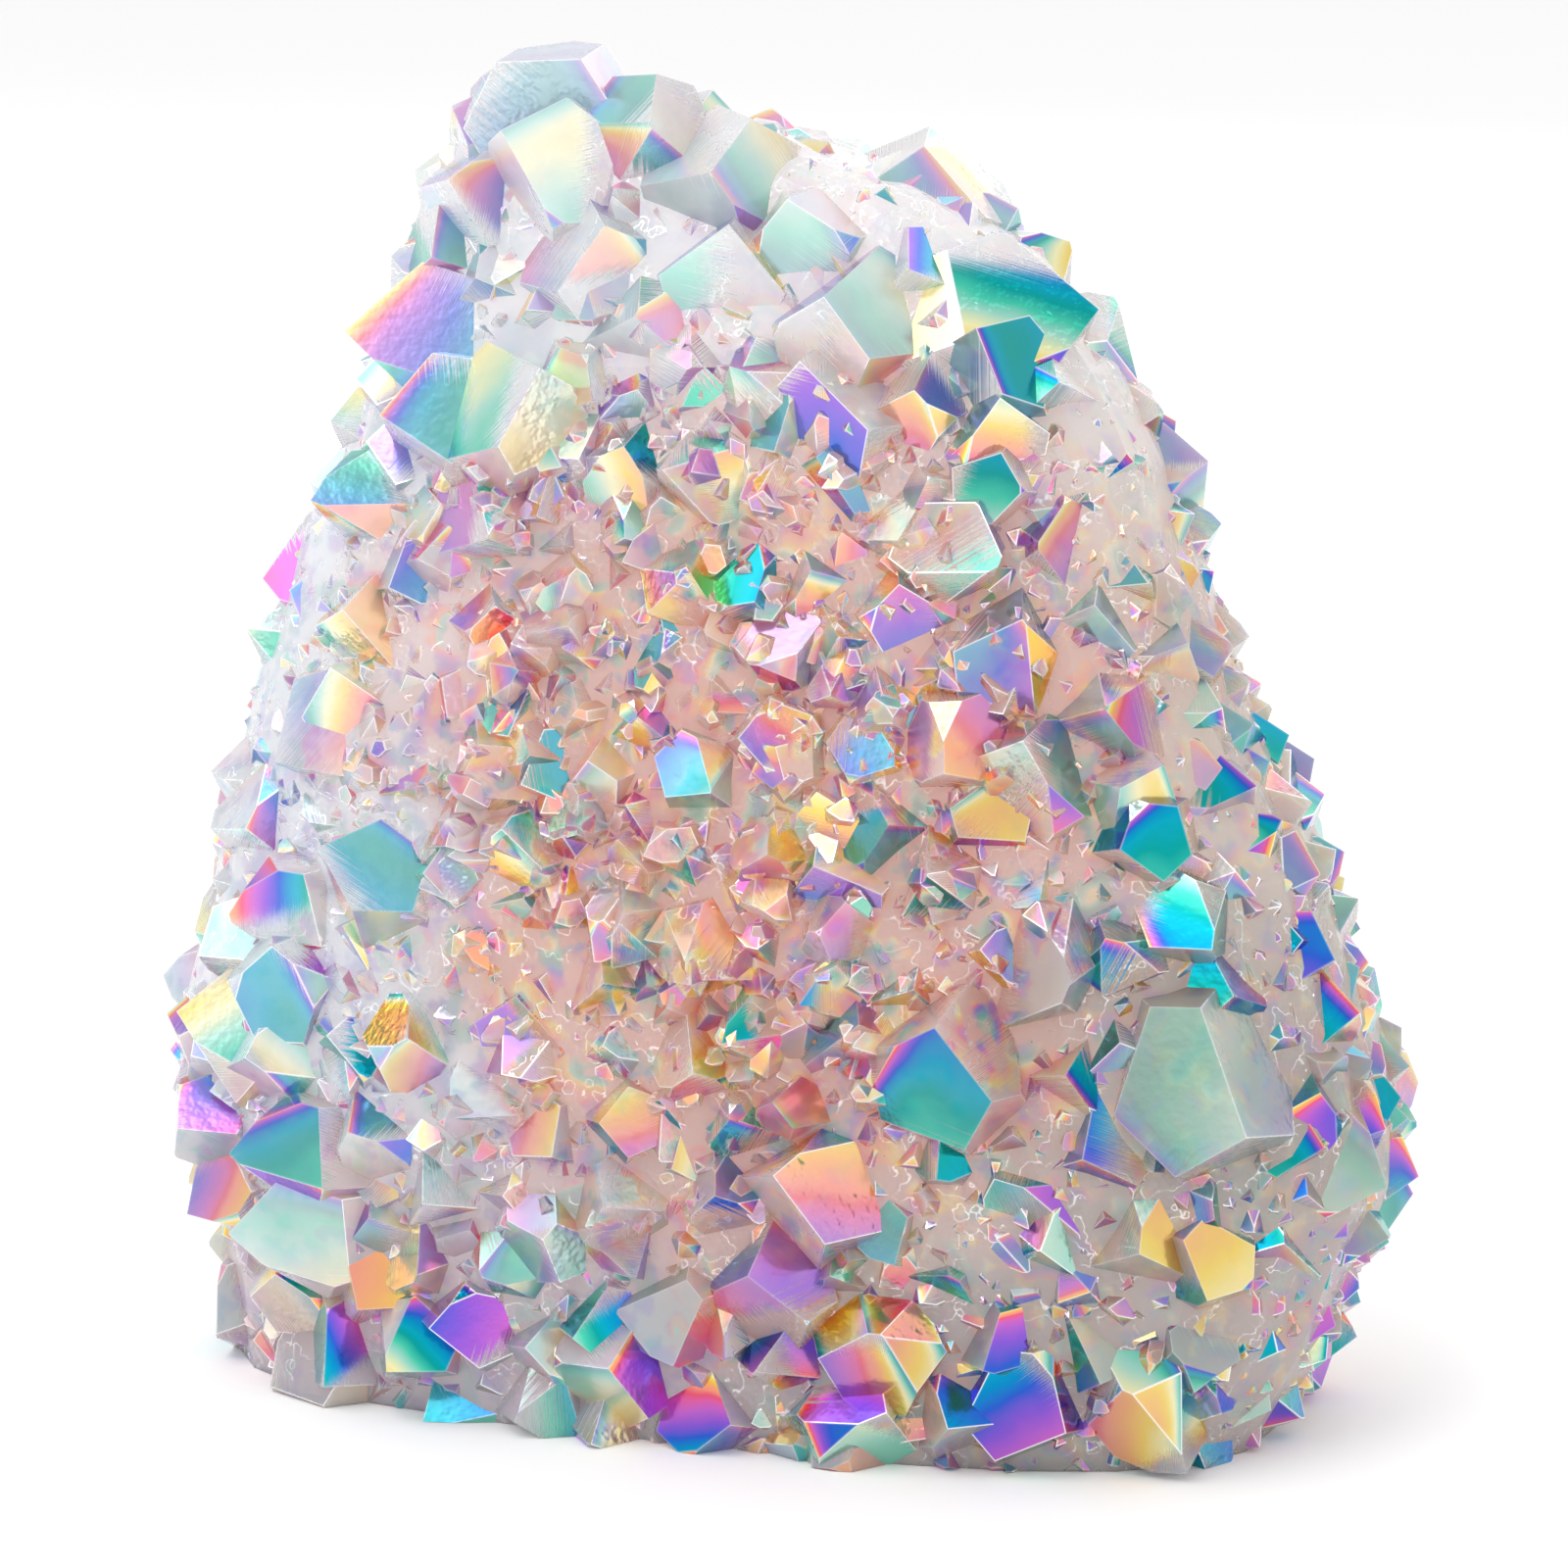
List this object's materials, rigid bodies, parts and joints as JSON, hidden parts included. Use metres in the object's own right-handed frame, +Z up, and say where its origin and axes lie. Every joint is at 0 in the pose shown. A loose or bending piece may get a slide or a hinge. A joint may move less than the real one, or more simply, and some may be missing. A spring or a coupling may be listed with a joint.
{
  "type": "aura quartz cluster",
  "caption": "Upright cluster of short pointed quartz crystals grown together on a slab, with a rainbow surface film and a flat sawn base to stand on.",
  "frame": {"origin": "middle of the flat sawn base, on the surface it stands on", "axes": "+Z up, X along the slab's width, -Y out of the face with the best crystals"},
  "size_m": [0.1148, 0.0603, 0.1174],
  "materials": {
    "aura_quartz": "milky quartz, see-through at the points, with a thin metallic film that shows teal, violet, pink and yellow"
  },
  "bodies": {
    "root": {"crystal_cluster": "aura_quartz"}
  },
  "joints": []
}
